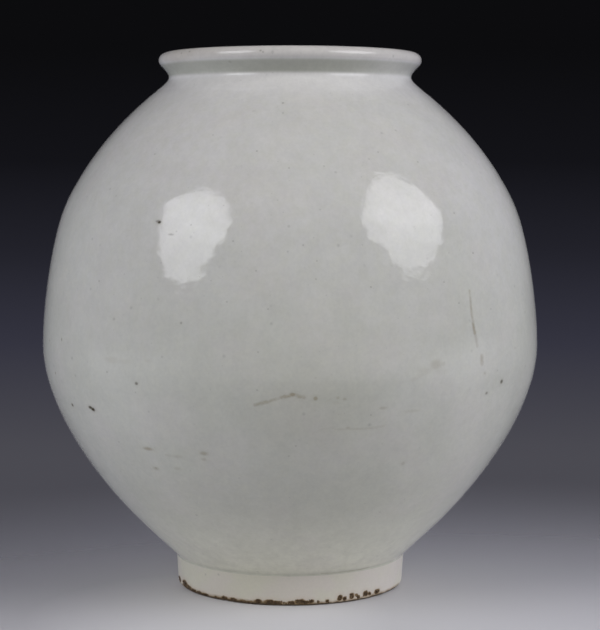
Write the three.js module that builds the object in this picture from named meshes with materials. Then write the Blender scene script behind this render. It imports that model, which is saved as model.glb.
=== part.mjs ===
// A round porcelain jar: two thrown bowls joined at the belly, on a turned foot ring, with a collar and rolled lip.
// Millimetres, +Z up. The origin is on the axis, at the table. An outline is drawn as (radius, height) and turned.
import * as THREE from 'three';

// Foot ring
const FOOT_RADIUS = 73.8;
const FOOT_HEIGHT = 19.5;
const FOOT_TAPER = 1.1;
const FOOT_TOP_WALL = 10.5;
const FOOT_BOTTOM_WALL = 8.4;
const FOOT_BEVEL = 1.2;

// Lower bowl: its height is counted from the foot, and angles from straight outwards
const LOWER_BOWL_HEIGHT = 129.1;
const FLARE_ANGLE = 44;
const FLARE_LENGTH = 29;
const FLARE_PULL = 11;
const FLOOR_THICKNESS = 10;
const FLOOR_PULL = 58;
const FLOOR_EDGE_PULL = 24;

// Belly seam, where the two bowls meet
const SEAM_RADIUS = 157.9;
const SEAM_ANGLE = 83.1;
const LOWER_SEAM_PULL = 53.2;
const UPPER_SEAM_PULL = 15.9;

// Upper bowl: its heights are counted from the belly seam
const UPPER_BOWL_HEIGHT = 166.6;
const SHOULDER_RADIUS = 141.2;
const SHOULDER_RISE = 99.6;
const SHOULDER_ANGLE = 116.6;
const SHOULDER_LOWER_PULL = 27.8;
const SHOULDER_UPPER_PULL = 29.3;

// Collar: the neck's height is counted from the top of the upper bowl
const NECK_RADIUS = 77.3;
const NECK_RISE = 9.1;
const NECK_WALL = 6.5;
const NECK_LOWER_PULL = 2.4;
const NECK_UPPER_PULL = 2.6;
const INNER_NECK_PULL = 6;
const COLLAR_SPREAD = 8.7;
const COLLAR_ANGLE = 140.8;
const COLLAR_LOWER_PULL = 30.4;
const COLLAR_UPPER_PULL = 6;

// Rolled lip: its middle is counted from the neck
const LIP_RISE = 10.8;
const LIP_SPREAD = 6.4;
const LIP_HALF_WIDTH = 5.6;
const LIP_HALF_HEIGHT = 4.9;
const LIP_UNDER_ANGLE = -37;
const LIP_UNDER_PULL = 4.7;
const MOUTH_PULL = 9;
const CROWN_PULL = 5;

// Wall of both bowls, and the slip in the joints
const WALL = 7;
const FOOT_SLIP = 0.8;
const FOOT_SLIP_BEAD = 0.9;
const BELLY_SLIP = 1.6;
const BELLY_BEAD_SPREAD = 3;
const BELLY_BEAD_DEPTH = 2.2;
const NECK_SLIP = 0.8;
const NECK_SLIP_BEAD = 0.9;

// Fineness of the turned surfaces
const SIDES = 48;
const LONG_STEPS = 8;
const SHORT_STEPS = 5;
const CUT_ROUNDS = 50;

// Points and directions of an outline
const point = (radius, height) => new THREE.Vector2(radius, height);

function heading(degrees) {
  const angle = THREE.MathUtils.degToRad(degrees);
  return point(Math.cos(angle), Math.sin(angle));
}

const UP = heading(90);
const OUTWARDS = heading(0);

// A curve that leaves start along one direction and arrives at end along another; the pulls set how full it is.
function sweep(start, startWay, startPull, end, endWay, endPull) {
  const startHandle = start.clone().addScaledVector(startWay, startPull);
  const endHandle = end.clone().addScaledVector(endWay, -endPull);
  return new THREE.CubicBezierCurve(start, startHandle, endHandle, end);
}

// An edge is a function from a share, 0 to 1, to a point: on the curve itself, or on the curve moved inwards.
const along = curve => share => curve.getPoint(share);

function inset(curve, thickness) {
  return share => {
    const way = curve.getTangent(share);
    const inwards = point(-way.y, way.x);
    return curve.getPoint(share).addScaledVector(inwards, thickness);
  };
}

// Points along an edge, from one share of it to another.
function trace(edge, steps, from = 0, to = 1) {
  const points = [];
  for (let step = 0; step <= steps; step += 1) {
    points.push(edge(from + (to - from) * step / steps));
  }
  return points;
}

// The share at which a climbing edge reaches a height, found by halving.
function shareAt(edge, height) {
  let low = 0;
  let high = 1;
  for (let round = 0; round < CUT_ROUNDS; round += 1) {
    const middle = (low + high) / 2;
    if (edge(middle).y < height) low = middle;
    else high = middle;
  }
  return (low + high) / 2;
}

// A point on an edge, written with exactly the height asked for, so that neighbours share it.
const pointAt = (edge, height) => point(edge(shareAt(edge, height)).x, height);

// Points up an edge that is cut off at a height, or that starts at one.
function traceUpTo(edge, steps, top) {
  const points = trace(edge, steps, 0, shareAt(edge, top));
  return [...points.slice(0, -1), pointAt(edge, top)];
}

function traceFrom(edge, steps, bottom) {
  const points = trace(edge, steps, shareAt(edge, bottom), 1);
  return [pointAt(edge, bottom), ...points.slice(1)];
}

// Heights of the joints
const footTop = FOOT_HEIGHT - FOOT_SLIP;
const seamHeight = FOOT_HEIGHT + LOWER_BOWL_HEIGHT;
const seamBottom = seamHeight - BELLY_SLIP / 2;
const seamTop = seamHeight + BELLY_SLIP / 2;
const beadBottom = seamBottom - BELLY_BEAD_SPREAD;
const beadTop = seamTop + BELLY_BEAD_SPREAD;
const collarHeight = seamHeight + UPPER_BOWL_HEIGHT;
const collarBottom = collarHeight - NECK_SLIP / 2;
const collarTop = collarHeight + NECK_SLIP / 2;

// Outside of the wall, from the foot up to the crown of the lip
const flareWay = heading(FLARE_ANGLE);
const seamWay = heading(SEAM_ANGLE);
const shoulderWay = heading(SHOULDER_ANGLE);
const collarWay = heading(COLLAR_ANGLE);
const footCorner = point(FOOT_RADIUS, FOOT_HEIGHT);
const flareEnd = footCorner.clone().addScaledVector(flareWay, FLARE_LENGTH);
const seamPoint = point(SEAM_RADIUS, seamHeight);
const shoulderPoint = point(SHOULDER_RADIUS, seamHeight + SHOULDER_RISE);
const collarPoint = point(NECK_RADIUS + COLLAR_SPREAD, collarHeight);
const neckPoint = point(NECK_RADIUS, collarHeight + NECK_RISE);
const lipMiddle = point(NECK_RADIUS + LIP_SPREAD - LIP_HALF_WIDTH, neckPoint.y + LIP_RISE);

const lowerCurve = sweep(flareEnd, flareWay, FLARE_PULL, seamPoint, seamWay, LOWER_SEAM_PULL);
const upperCurve = sweep(seamPoint, seamWay, UPPER_SEAM_PULL, shoulderPoint, shoulderWay, SHOULDER_LOWER_PULL);
const shoulderCurve = sweep(
  shoulderPoint, shoulderWay, SHOULDER_UPPER_PULL, collarPoint, collarWay, COLLAR_LOWER_PULL,
);
const collarCurve = sweep(collarPoint, collarWay, COLLAR_UPPER_PULL, neckPoint, UP, NECK_LOWER_PULL);
const lipCurve = new THREE.EllipseCurve(
  lipMiddle.x, lipMiddle.y, LIP_HALF_WIDTH, LIP_HALF_HEIGHT,
  THREE.MathUtils.degToRad(LIP_UNDER_ANGLE), Math.PI / 2,
);
const coveCurve = sweep(
  neckPoint, UP, NECK_UPPER_PULL, lipCurve.getPoint(0), lipCurve.getTangent(0), LIP_UNDER_PULL,
);

const lowerOutside = along(lowerCurve);
const upperOutside = along(upperCurve);
const shoulderOutside = along(shoulderCurve);
const collarOutside = along(collarCurve);

// Inside of the wall, from the middle of the floor up to the crown of the lip
const lowerInside = inset(lowerCurve, WALL);
const upperInside = inset(upperCurve, WALL);
const shoulderInside = inset(shoulderCurve, WALL);
const floorMiddle = point(0, FOOT_HEIGHT + FLOOR_THICKNESS);
const floorInside = along(
  sweep(floorMiddle, OUTWARDS, FLOOR_PULL, lowerInside(0), flareWay, FLOOR_EDGE_PULL),
);
const innerNeckPoint = point(NECK_RADIUS - NECK_WALL, neckPoint.y);
const neckInside = along(
  sweep(shoulderInside(1), collarWay, INNER_NECK_PULL, innerNeckPoint, UP, INNER_NECK_PULL),
);
const mouthInside = along(
  sweep(innerNeckPoint, UP, MOUTH_PULL, lipCurve.getPoint(1), OUTWARDS, CROWN_PULL),
);

// Foot ring, where it meets its slip
const footInnerTop = FOOT_RADIUS - FOOT_TOP_WALL;
const footOuterTop = FOOT_RADIUS - FOOT_TAPER * FOOT_SLIP / FOOT_HEIGHT;

// Materials
const glaze = new THREE.MeshStandardMaterial({ color: 0xcccdc8, roughness: 0.15, metalness: 0 });
const footGlaze = new THREE.MeshStandardMaterial({ color: 0xc4bfb2, roughness: 0.5, metalness: 0 });
const slip = new THREE.MeshStandardMaterial({ color: 0xc6c6be, roughness: 0.3, metalness: 0 });

// Turns an outline about the axis. An outline that starts off the axis is closed on itself.
function turned(name, material, outline) {
  const closed = outline[0].x === 0 ? outline : [...outline, outline[0]];
  const geometry = new THREE.LatheGeometry(closed, SIDES);
  geometry.rotateX(Math.PI / 2);
  const mesh = new THREE.Mesh(geometry, material);
  mesh.name = name;
  return mesh;
}

function footRing() {
  const outerBottom = FOOT_RADIUS - FOOT_TAPER;
  const innerBottom = outerBottom - FOOT_BOTTOM_WALL;
  return turned('foot_ring', footGlaze, [
    point(innerBottom + FOOT_BEVEL, 0),
    point(outerBottom - FOOT_BEVEL, 0),
    point(outerBottom, FOOT_BEVEL),
    point(footOuterTop, footTop),
    point(footInnerTop, footTop),
    point(innerBottom, FOOT_BEVEL),
  ]);
}

function footSlip() {
  return turned('foot_slip', slip, [
    point(footInnerTop, footTop),
    point(footOuterTop, footTop),
    footCorner,
    point(footInnerTop, FOOT_HEIGHT),
    point(footInnerTop - FOOT_SLIP_BEAD, (footTop + FOOT_HEIGHT) / 2),
  ]);
}

function lowerBowl() {
  return turned('lower_bowl', glaze, [
    point(0, FOOT_HEIGHT),
    footCorner,
    ...traceUpTo(lowerOutside, LONG_STEPS, seamBottom),
    pointAt(lowerInside, seamBottom),
    ...traceUpTo(lowerInside, LONG_STEPS, beadBottom).reverse(),
    ...trace(floorInside, SHORT_STEPS).slice(0, -1).reverse(),
  ]);
}

// The slip fills the joint from outside to inside, and stands proud inside as a bead that laps over both bowls.
function bellySlip() {
  const lower = pointAt(lowerInside, beadBottom);
  const upper = pointAt(upperInside, beadTop);
  const depth = point(-BELLY_BEAD_DEPTH, 0);
  const bead = new THREE.CubicBezierCurve(upper, upper.clone().add(depth), lower.clone().add(depth), lower);
  return turned('belly_slip', slip, [
    pointAt(lowerInside, seamBottom),
    pointAt(lowerOutside, seamBottom),
    seamPoint,
    pointAt(upperOutside, seamTop),
    pointAt(upperInside, seamTop),
    ...trace(along(bead), SHORT_STEPS),
  ]);
}

function upperBowl() {
  return turned('upper_bowl', glaze, [
    pointAt(upperInside, seamTop),
    ...traceFrom(upperOutside, LONG_STEPS, seamTop),
    ...traceUpTo(shoulderOutside, LONG_STEPS, collarBottom).slice(1),
    ...traceUpTo(neckInside, SHORT_STEPS, collarBottom).reverse(),
    ...trace(shoulderInside, LONG_STEPS).slice(0, -1).reverse(),
    ...traceFrom(upperInside, LONG_STEPS, beadTop).slice(0, -1).reverse(),
  ]);
}

function neckSlip() {
  const innerMiddle = pointAt(neckInside, collarHeight);
  return turned('neck_slip', slip, [
    pointAt(neckInside, collarBottom),
    pointAt(shoulderOutside, collarBottom),
    collarPoint,
    pointAt(collarOutside, collarTop),
    pointAt(neckInside, collarTop),
    point(innerMiddle.x - NECK_SLIP_BEAD, collarHeight),
  ]);
}

function mouthRim() {
  return turned('mouth_rim', glaze, [
    ...traceFrom(collarOutside, SHORT_STEPS, collarTop),
    ...trace(along(coveCurve), SHORT_STEPS).slice(1),
    ...trace(along(lipCurve), LONG_STEPS).slice(1),
    ...trace(mouthInside, LONG_STEPS).slice(0, -1).reverse(),
    ...traceFrom(neckInside, SHORT_STEPS, collarTop).slice(0, -1).reverse(),
  ]);
}

const jar = new THREE.Group();
jar.add(footRing(), footSlip(), lowerBowl(), bellySlip(), upperBowl(), neckSlip(), mouthRim());

export default jar;
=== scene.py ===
import math

import bmesh
import bpy
import numpy as np
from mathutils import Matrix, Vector, noise
from mathutils.bvhtree import BVHTree


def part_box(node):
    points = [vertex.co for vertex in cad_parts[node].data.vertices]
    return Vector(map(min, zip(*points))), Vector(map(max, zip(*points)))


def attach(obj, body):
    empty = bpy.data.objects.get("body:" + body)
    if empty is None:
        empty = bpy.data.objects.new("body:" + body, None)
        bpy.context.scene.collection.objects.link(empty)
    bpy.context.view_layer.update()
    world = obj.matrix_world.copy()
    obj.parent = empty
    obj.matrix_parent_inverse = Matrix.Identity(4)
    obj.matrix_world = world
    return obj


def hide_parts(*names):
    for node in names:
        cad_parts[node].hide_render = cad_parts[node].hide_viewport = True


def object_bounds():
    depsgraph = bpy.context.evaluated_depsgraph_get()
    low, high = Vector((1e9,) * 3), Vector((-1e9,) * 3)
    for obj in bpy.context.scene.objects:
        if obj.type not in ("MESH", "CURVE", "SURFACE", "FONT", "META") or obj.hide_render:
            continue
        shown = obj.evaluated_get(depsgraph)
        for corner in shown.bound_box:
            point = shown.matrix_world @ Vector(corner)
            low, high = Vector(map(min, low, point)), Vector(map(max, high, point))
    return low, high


# A round white-glazed porcelain jar, dressed around its CAD frame. Metres, +Z up, seen along +Y.
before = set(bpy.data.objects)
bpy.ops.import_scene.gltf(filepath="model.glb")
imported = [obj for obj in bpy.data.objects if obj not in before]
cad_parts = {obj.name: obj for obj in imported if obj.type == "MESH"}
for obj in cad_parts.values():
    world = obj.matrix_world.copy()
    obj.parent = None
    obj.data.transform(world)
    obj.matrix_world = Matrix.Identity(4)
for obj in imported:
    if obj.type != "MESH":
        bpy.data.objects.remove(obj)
cad_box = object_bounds()

MM = 0.001
NEAR = 1e-6
PLACE_DIGITS = 6
TURN = 2 * math.pi
FRONT = -TURN / 4


def colour(red, green, blue):
    return (red, green, blue, 1.0)


# Places on the jar, from the frame
foot_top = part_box("foot_ring")[1].z
foot_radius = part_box("foot_ring")[1].x
seam_height = sum(corner.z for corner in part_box("belly_slip")) / 2
neck_height = sum(corner.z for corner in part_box("neck_slip")) / 2
belly_radius = cad_box[1].x
jar_height = cad_box[1].z

# Camera of the photograph, a frame of 600 by 630 pixels
PHOTO_WIDTH = 600
PHOTO_HEIGHT = 630
JAR_AXIS_PIXEL = 290.1
FOCAL_PIXELS = 1775.6
CAMERA_PLACE = Vector((0, -1.1409, 0.27135))
CAMERA_AIM = Vector((0, 0, 0.17274))
SENSOR_WIDTH = 36

# Fineness of the turned meshes
BODY_SIDES = 320
FOOT_SIDES = 480
BODY_STEP = 2 * MM
FINE_STEP = 0.8 * MM
CORNER_TURN = math.radians(40)
SHARP_ANGLE = math.radians(35)
CURVE_SAMPLES = 24
MEET = 0.01 * MM
CARRY_ON = math.cos(math.radians(25))

# Glazed pieces: the node that each stands for, and the step along its outline
GLAZED_PIECES = {
    "lower_bowl_glazed": ("lower_bowl", BODY_STEP),
    "upper_bowl_glazed": ("upper_bowl", BODY_STEP),
    "mouth_rim_glazed": ("mouth_rim", FINE_STEP),
    "belly_slip_joint": ("belly_slip", FINE_STEP),
    "neck_slip_joint": ("neck_slip", FINE_STEP),
    "foot_slip_joint": ("foot_slip", FINE_STEP),
}
MARKED_NODES = ("lower_bowl", "belly_slip", "upper_bowl", "mouth_rim")

# How the thrown wall departs from a true circle
SHRINK = 0.12 * MM
LUMP_DEPTH = 0.07 * MM
LUMP_TURNS = (3, 20)
LUMP_CLIMB = (0.05, 0.16)
LUMP_SEED = 11
RIPPLE_DEPTH = 0.013 * MM
RIPPLE_TURNS = (40, 90)
RIPPLE_CLIMB = (0.012, 0.03)
RIPPLE_SEED = 12
WAVE_COUNT = 9
OUT_OF_ROUND = 0.4 * MM
SWAY_RADIUS = 60 * MM
THROWING_RING_DEPTH = 0.02 * MM
THROWING_RING_CLIMB = 11 * MM
INNER_RING_DEPTH = 0.35 * MM
INNER_RING_CLIMB = 13 * MM
INNER_RING_FADE = 18 * MM
SEAM_RIDGE = 0.15 * MM
SEAM_RIDGE_DROP = 11 * MM
SEAM_SPREAD = 8 * MM
NECK_GROOVE = 0.14 * MM
NECK_SPREAD = 1.1 * MM

# Turning lines round the foot, and chips out of its lower edge
FOOT_LINE_DEPTH = 0.03 * MM
FOOT_LINE_CLIMB = 2.1 * MM
FOOT_LINE_STARTS = 2
FOOT_CHIP_DEPTH = 0.5 * MM
FOOT_CHIP_SPREAD = 1.8 * MM
FOOT_CHIP_TURNS = (20, 110)
FOOT_CHIP_CLIMB = (0.004, 0.02)
FOOT_CHIP_START = 0.3
FOOT_CHIP_SEED = 13

# Drawing of noise, spots, marks and lines; fades are shares of a mark's half size or a line's width
NOISE_MIDDLE = Vector((0.5, 0.5, 0.5))
NOISE_SPAN = (0.3, 0.7)
SPOT_SMALLEST = 0.3
MARK_CORE_FADE = (0.4, 1.5)
MARK_HALO_FADE = (0.8, 3.0)
STROKE_FADE = (0.1, 0.7)
GLASS_IOR = 1.5

# Glaze colours
GLAZE_PALE = colour(0.645, 0.632, 0.590)
GLAZE_GREEN = colour(0.548, 0.550, 0.466)
# Cream glaze near the foot, partly painted light from the floor's bounce
GLAZE_CREAM_AND_BOUNCE_LIGHT = colour(0.845, 0.838, 0.690)
# Painted light on the collar, where the top of the shoulder catches the light
GLAZE_COLLAR_LIGHT = colour(0.714, 0.698, 0.660)
GLAZE_WARM = colour(0.640, 0.605, 0.555)
GLAZE_OLIVE = colour(0.590, 0.585, 0.480)
# Dark glaze colour: pooled glaze and painted shade in the crease above the foot, painted shade in the cove
GLAZE_POOL_AND_SHADE = colour(0.400, 0.405, 0.325)
LIP_BLUSH = colour(0.603, 0.576, 0.521)
SPECK_BROWN = colour(0.055, 0.042, 0.020)
SPECK_GREY = colour(0.260, 0.255, 0.215)
HALO_OLIVE = colour(0.440, 0.420, 0.320)
STAIN_AND_SHADE_OLIVE = colour(0.260, 0.205, 0.110)

# Bands of the glaze: where each lies, and the share of its colour; the collar band is painted light, the
# cream near the foot is partly painted floor-bounce light, the cove is painted shade, and the crease above
# the foot holds pooled glaze and painted shade
GREEN_FULL = seam_height - 30 * MM
GREEN_SHARE = (0.15, 0.85)
CREAM_AND_BOUNCE_RISE = 60 * MM
CREAM_AND_BOUNCE_SHARE = 0.8
COLLAR_LIGHT_BAND = (neck_height - 12 * MM, neck_height + 8 * MM)
COLLAR_LIGHT_SHARE = 0.85
LIP_SHARE = 0.95
POOL_AND_SHADE_DEPTH = 4.5 * MM
FOOT_POOL_AND_SHADE_SHARE = 0.5
# The cove under the lip, where shade is painted
COVE_TOP = jar_height - 7.8 * MM
COVE_BOTTOM = jar_height - 15.6 * MM
COVE_RADIUS = 75.5 * MM
COVE_EDGE = 1.3 * MM
COVE_RIGHTWARD = (30 * MM, 70 * MM)
COVE_SHADE_SHARE = (0.82, 0.55)
SEAM_SHADE = 0.978
SEAM_SHADE_FOOT = seam_height - SEAM_RIDGE_DROP + 2 * MM
SEAM_SHADE_RISE = 16 * MM
SEAM_SHADE_EDGE = 0.8 * MM
SEAM_WAVE_SIZE = 30 * MM
SEAM_WAVE_DEPTH = 4 * MM

# Unevenness of the glaze: the size of a patch, the lowest and highest value, and how the noise is cut
GREEN_DRIFT = dict(size=90 * MM, low=-0.15, high=0.15, detail=3)
WARM_DRIFT = dict(size=30 * MM, low=0.0, high=0.3, detail=3, span=(0.4, 0.7))
OLIVE_DABS = dict(size=6 * MM, low=0.0, high=0.3, detail=3, span=(0.35, 0.7))
GLAZE_CLOUD = dict(size=16 * MM, low=0.972, high=1.022, detail=4, roughness=0.6)
GLAZE_MOTTLE = dict(size=4.2 * MM, low=0.984, high=1.016)
GLAZE_GRAIN = dict(size=1.8 * MM, low=0.982, high=1.018)
GLAZE_GLOSS = dict(size=12 * MM, low=0.02, high=0.05, detail=3)
RUBBED_AWAY = dict(size=2.5 * MM, low=0.5, high=1.0, span=(0.3, 0.6))
PEEL_SIZE = 3 * MM
PEEL_DEPTH = 0.045 * MM
PINHOLES = dict(spacing=3.4 * MM, radius=0.7 * MM, share=0.45)
PINHOLE_DEPTH = 0.05 * MM
FINE_SPECKS = dict(spacing=9 * MM, radius=1.7 * MM, share=0.7)
DOT_SHARE = 0.4
MARK_RAGGED = dict(size=1.8 * MM, reach=0.35 * MM)
MARK_HALO_SHARE = 0.3

# Marks on the glaze, by their pixel in the photograph: x, y, width and height in mm, strength
IRON_SPECKS = [
    (158, 221.3, 3.0, 1.4, 0.5),
    (159.4, 222.2, 2.4, 1.7, 1.0),
    (171, 234.5, 3.6, 1.2, 0.4),
    (90.6, 407.6, 4.2, 1.9, 0.9),
    (93, 409.4, 4.0, 2.3, 1.0),
    (136.4, 383.5, 2.3, 1.9, 0.65),
    (135.5, 392.4, 1.0, 1.0, 0.2),
    (501.6, 381.5, 2.8, 2.6, 0.75),
    (486.5, 393.2, 2.4, 1.8, 0.5),
    (189.5, 51.5, 1.6, 1.2, 0.35),
    (181.5, 53, 1.6, 1.0, 0.3),
    (260.5, 50.5, 1.4, 1.2, 0.35),
    (263, 51.8, 1.2, 1.0, 0.3),
    (283, 103, 1.3, 1.3, 0.4),
    (283, 113, 1.0, 1.0, 0.3),
    (257, 151, 1.0, 1.0, 0.4),
    (110, 189, 1.0, 0.8, 0.35),
    (116, 196, 0.8, 0.8, 0.35),
    (155, 154, 1.0, 0.8, 0.35),
    (72.5, 405, 2.8, 1.9, 0.7),
    (61.7, 339.4, 1.4, 2.0, 0.45),
    (49.6, 340.7, 1.6, 1.4, 0.25),
    (72, 358.3, 1.3, 1.4, 0.3),
    (55.4, 373, 1.4, 1.8, 0.4),
    (107, 371.8, 1.3, 1.1, 0.35),
    (99, 281, 1.0, 1.0, 0.35),
    (181, 323, 1.4, 1.2, 0.35),
    (114, 319, 2.0, 1.6, 0.2),
    (454, 213, 1.0, 1.0, 0.3),
    (473, 253, 1.0, 1.0, 0.4),
    (371, 287, 1.0, 1.0, 0.35),
    (418, 162, 1.0, 1.0, 0.35),
    (258, 352, 1.0, 1.0, 0.25),
    (119, 442, 0.9, 0.9, 0.35),
    (156, 468, 1.3, 1.0, 0.25),
    (289, 168, 0.9, 0.9, 0.3),
    (324, 166, 0.9, 0.9, 0.25),
    (213, 135, 0.9, 0.9, 0.3),
    (378, 152, 0.9, 0.9, 0.3),
    (369, 159, 0.9, 0.9, 0.25),
    (191, 225, 0.9, 0.9, 0.3),
    (233, 241, 0.9, 0.9, 0.3),
    (303, 245, 0.9, 0.9, 0.3),
    (317, 261, 0.9, 0.9, 0.25),
    (316, 279, 0.9, 0.9, 0.25),
    (256, 271, 0.9, 0.9, 0.25),
    (268, 309, 0.9, 0.9, 0.25),
    (227, 302, 0.9, 0.9, 0.25),
    (444, 282, 1.0, 0.9, 0.3),
    (459, 303, 1.0, 0.9, 0.3),
    (491, 309, 1.0, 0.9, 0.3),
    (525, 312, 1.4, 1.0, 0.3),
    (515, 348, 1.2, 1.0, 0.2),
    (497.5, 370.5, 1.2, 1.0, 0.2),
    (257, 390, 0.9, 0.9, 0.3),
    (371, 415, 0.9, 0.9, 0.3),
    (296, 446, 0.9, 0.9, 0.3),
    (289, 456, 0.9, 0.9, 0.25),
]
RUBBED_STAINS_AND_SHADE = [
    (266, 402, 4.4, 2.2, 0.4),
    (285, 396.6, 4.2, 2.4, 0.45),
    (292.6, 394.6, 3.8, 2.2, 0.6),
    (300, 397, 4.2, 2.0, 0.4),
    (315.6, 398.5, 2.6, 2.6, 0.55),
    (336, 403, 6.0, 3.0, 0.14),
    (338, 398, 2.2, 1.8, 0.3),
    (344.6, 399, 2.2, 1.8, 0.3),
    (348, 428, 2.8, 1.8, 0.3),
    (383, 408, 4.6, 1.8, 0.25),
    (148, 448.8, 7.0, 2.2, 0.5),
    (204, 453.5, 5.0, 2.6, 0.4),
    (204, 459.5, 3.0, 2.2, 0.25),
    (156, 468.5, 4.6, 2.2, 0.3),
    (177, 456.5, 5.0, 2.0, 0.16),
    (177, 468.5, 4.0, 2.0, 0.16),
    (425, 371, 9.0, 3.6, 0.1),
    (440, 372, 8.0, 4.0, 0.07),
    (436, 364.6, 7.5, 5.5, 0.26),
    (434, 366, 3.4, 2.6, 0.16),
    (443, 364, 4.0, 2.4, 0.15),
    (484.8, 373.2, 1.8, 1.8, 0.25),
    # Two wide rows on the lip's left end: a warm stain, and painted shade where less light falls
    (178, 55, 40, 9, 0.2),
    (206, 53, 34, 7, 0.1),
    # A wide faint patch, darker in the middle below the belly seam
    (314, 414, 70, 40, 0.07),
    (112, 360, 11, 3.6, 0.13),
    (123, 361.5, 10, 3.0, 0.09),
    (148, 361, 5, 2.0, 0.08),
    (412, 411, 10, 2.0, 0.12),
    (338, 414, 9, 2.4, 0.1),
    (403, 463.5, 2.4, 2.6, 0.22),
]

# Scratches and rubbed lines, by the pixels of their ends: x, y, x, y, width in mm, strength
RUBBED_LINES = [
    (255, 405, 267.5, 401.8, 2.8, 0.42),
    (267.5, 401.8, 281, 397.6, 2.2, 0.36),
    (281, 397.6, 294, 394.6, 2.6, 0.5),
    (294, 394.6, 304, 397.4, 2.6, 0.36),
    (304, 396.6, 322, 395.5, 2.4, 0.12),
    (336, 396, 326, 402, 2.0, 0.12),
    (469.6, 291, 470.6, 302, 2.0, 0.34),
    (470.6, 302, 471.5, 312, 2.0, 0.42),
    (471.5, 312, 473, 322, 2.2, 0.42),
    (473, 322, 474.8, 333, 2.8, 0.55),
    (474.8, 333, 477.4, 346, 2.4, 0.26),
    (481.8, 356.5, 481.9, 363.5, 3.4, 0.38),
    (321, 429.5, 335, 428.5, 2.0, 0.16),
    (335, 429.5, 372, 428, 2.0, 0.2),
    (372, 428, 384, 426, 2.0, 0.14),
    (412, 380, 432, 369, 3.0, 0.1),
    (166, 455, 181, 457, 2.0, 0.12),
    (322, 573.5, 345, 571.5, 2.0, 0.25),
    (345, 571.5, 368, 567.5, 2.0, 0.35),
]

# Foot colours
FOOT_CREAM = colour(0.630, 0.612, 0.492)
FOOT_WARM = colour(0.640, 0.592, 0.526)
FOOT_CLAY = colour(0.670, 0.605, 0.480)
FOOT_BLUSH = colour(0.580, 0.500, 0.410)
FOOT_OCHRE = colour(0.245, 0.162, 0.072)
# Kiln stain and painted contact shadow along the foot's lower edge
FOOT_LINE_AND_SHADOW = colour(0.096, 0.062, 0.022)
FOOT_DARK = colour(0.046, 0.022, 0.003)

# Unevenness of the foot, and the bare clay at its lower edge
WARM_PATCHES = dict(size=20 * MM, low=-0.3, high=0.3, detail=3, span=(0.35, 0.65))
WARM_SHARE = (0.3, 0.7)
BARE_RISE = (1 * MM, 4 * MM)
BARE_SHARE = 0.7
FOOT_GRAIN = dict(size=1.4 * MM, low=0.985, high=1.015)
FOOT_GLOSS = dict(size=6 * MM, low=0.35, high=0.5, detail=3)
FOOT_BUMP_SIZE = 1.2 * MM
FOOT_BUMP_DEPTH = 0.02 * MM

# Kiln stains and specks on the foot, by their pixel in the photograph: x, y, width and height in mm, strength
FOOT_STAINS = [
    (180, 579, 8.0, 3.4, 1.0),
    (185, 583.5, 9.0, 4.6, 1.0),
    (189, 587.5, 7.0, 3.4, 0.8),
    (194, 590.5, 6.0, 2.4, 0.9),
    (200, 593, 6.0, 2.4, 0.9),
    (206.5, 595, 6.0, 2.4, 0.9),
    (216.5, 597.5, 5.0, 2.0, 0.7),
    (224.5, 598, 4.4, 2.4, 0.9),
    (233.5, 599.5, 5.0, 2.2, 0.9),
    (242.5, 601, 5.0, 1.8, 0.6),
    (250.5, 602, 5.0, 1.8, 0.55),
    (258.5, 601.5, 5.0, 3.2, 0.9),
    (269.5, 602, 6.4, 3.0, 1.0),
    (277.5, 602.5, 6.2, 2.6, 0.95),
    (285, 603, 3.4, 1.6, 0.5),
    (291.5, 602.5, 4.6, 2.2, 0.9),
    (300.5, 602, 7.4, 3.4, 1.0),
    (306, 602.5, 4.4, 2.6, 1.0),
    (311.5, 601.5, 3.8, 2.4, 0.9),
    (318.5, 602, 1.6, 2.2, 0.75),
    (327.5, 601, 2.2, 2.2, 0.85),
    (340, 598, 3.4, 3.6, 1.0),
    (344.5, 598.5, 3.0, 2.6, 0.9),
    (352, 596, 3.4, 3.8, 1.0),
    (356.5, 595, 2.4, 2.4, 0.6),
    (358.5, 597, 2.4, 2.4, 0.9),
    (365.5, 593.5, 4.2, 3.6, 1.0),
    (369.5, 593.5, 2.8, 2.4, 0.8),
    (377, 591.5, 5.0, 3.2, 0.95),
]
FOOT_SPECKS = [
    (205.5, 574.5, 1.6, 1.4, 0.35),
    (218.5, 574.5, 1.6, 1.4, 0.35),
]

# Stains on the back of the foot: the stretch in degrees from the front, and sizes in mm
BACK_STAINS = 20
BACK_STAIN_REACH = (100, 255)
BACK_STAIN_STRAY = (-4, 4)
BACK_STAIN_HEIGHT = (1.2, 3.4)
BACK_STAIN_WIDTH = (2, 7)
BACK_STAIN_TALL = (1.4, 3)
BACK_STAIN_STRENGTH = 0.9
BACK_STAIN_SEED = 31
STAIN_RAGGED = dict(size=2.2 * MM, reach=0.8 * MM)
STAIN_BROKEN = dict(size=1.1 * MM, low=0.5, high=1.0, span=(0.3, 0.58))
BLUSH_SHARE = 0.5
OCHRE_CORE = (0.05, 0.5)
DARK_CORE = (0.45, 0.85)

# Dark line along the foot's lower edge, partly kiln stain and partly painted contact shadow, with an ochre
# fringe; it fades between two angles from its middle
LINE_MIDDLE = 1
LINE_REACH = (78, 68)
LINE_INWARD = (foot_radius - 5 * MM, foot_radius - 2 * MM)
LINE_LIFT = 0.6 * MM
LINE_LIFT_REACH = foot_radius / 4
LINE_WAVE_SIZE = 5 * MM
LINE_WAVE_DEPTH = 2.4 * MM
LINE_HEIGHT = (2.0 * MM, 2.8 * MM)
LINE_FRINGE = (2.4 * MM, 4.2 * MM)
FRINGE_SHARE = 0.7

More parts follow.
